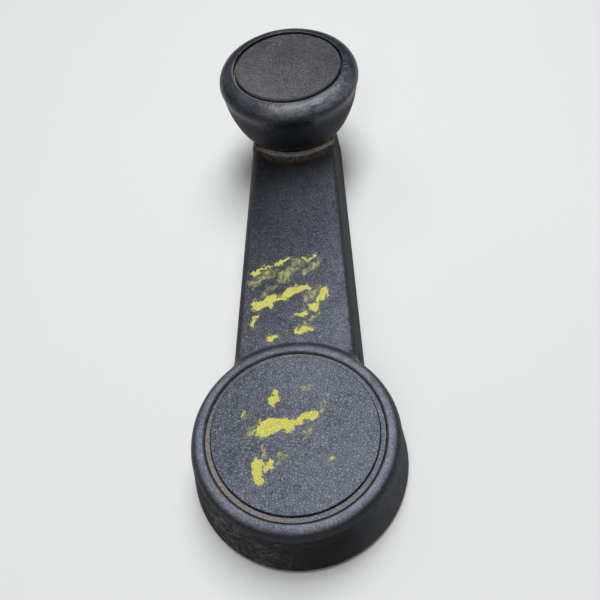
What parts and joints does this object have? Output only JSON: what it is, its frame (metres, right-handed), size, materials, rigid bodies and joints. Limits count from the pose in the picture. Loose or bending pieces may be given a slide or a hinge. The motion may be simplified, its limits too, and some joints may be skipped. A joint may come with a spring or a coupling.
{
  "type": "window winder handle",
  "caption": "Moulded crank handle for a vehicle's window winder: round hub with a splined drive socket, tapered arm, and a knob that spins on a steel spindle.",
  "frame": {"origin": "centre of the splined socket's flat end face, where the window regulator's spindle seats", "axes": "+Z along the crank axis away from the door, +Y along the arm towards the knob, +X to the right seen from above with the knob up"},
  "size_m": [0.0518, 0.1534, 0.0371],
  "materials": {
    "moulded_plastic": "fine grained, dusty",
    "knob_plastic": "polished by hands, scuffed",
    "inlay_plastic": "fine grained, dusty",
    "light_acetal": "natural, dusty",
    "black_acetal": "smooth",
    "zinc_casting": "as cast",
    "plated_steel": "zinc plated",
    "spring_steel": "oiled dark"
  },
  "bodies": {
    "crank": {"crank_arm": "moulded_plastic", "core_strap": "plated_steel", "drive_boss": "zinc_casting", "retaining_clip": "spring_steel", "boss_screw_1": "plated_steel", "boss_screw_2": "plated_steel", "boss_screw_3": "plated_steel", "boss_screw_4": "plated_steel", "strap_screw_1": "plated_steel", "strap_screw_2": "plated_steel", "knob_spindle": "plated_steel", "rivet_washer": "plated_steel", "thrust_washer": "light_acetal", "wave_washer": "spring_steel", "flat_washer": "plated_steel", "spindle_clip": "spring_steel"},
    "knob": {"knob_body": "knob_plastic", "knob_bush": "light_acetal", "knob_inlay": "inlay_plastic"},
    "friction_ring": {"friction_ring": "black_acetal"},
    "hub_cap": {"hub_cap": "moulded_plastic"}
  },
  "joints": [
    {"name": "knob_spin", "type": "hinge", "parent": "crank", "child": "knob", "pos_m": [0, 0.1073, 0.0061], "axis": [0, -0.0349, 0.9994], "continuous": true},
    {"name": "ring_turn", "type": "hinge", "parent": "crank", "child": "friction_ring", "pos_m": [0, 0, 0], "axis": [0, 0, 1], "continuous": true},
    {"name": "cap_lift", "type": "slide", "parent": "crank", "child": "hub_cap", "axis": [0, 0, 1], "range_m": [0, 0.012]}
  ]
}
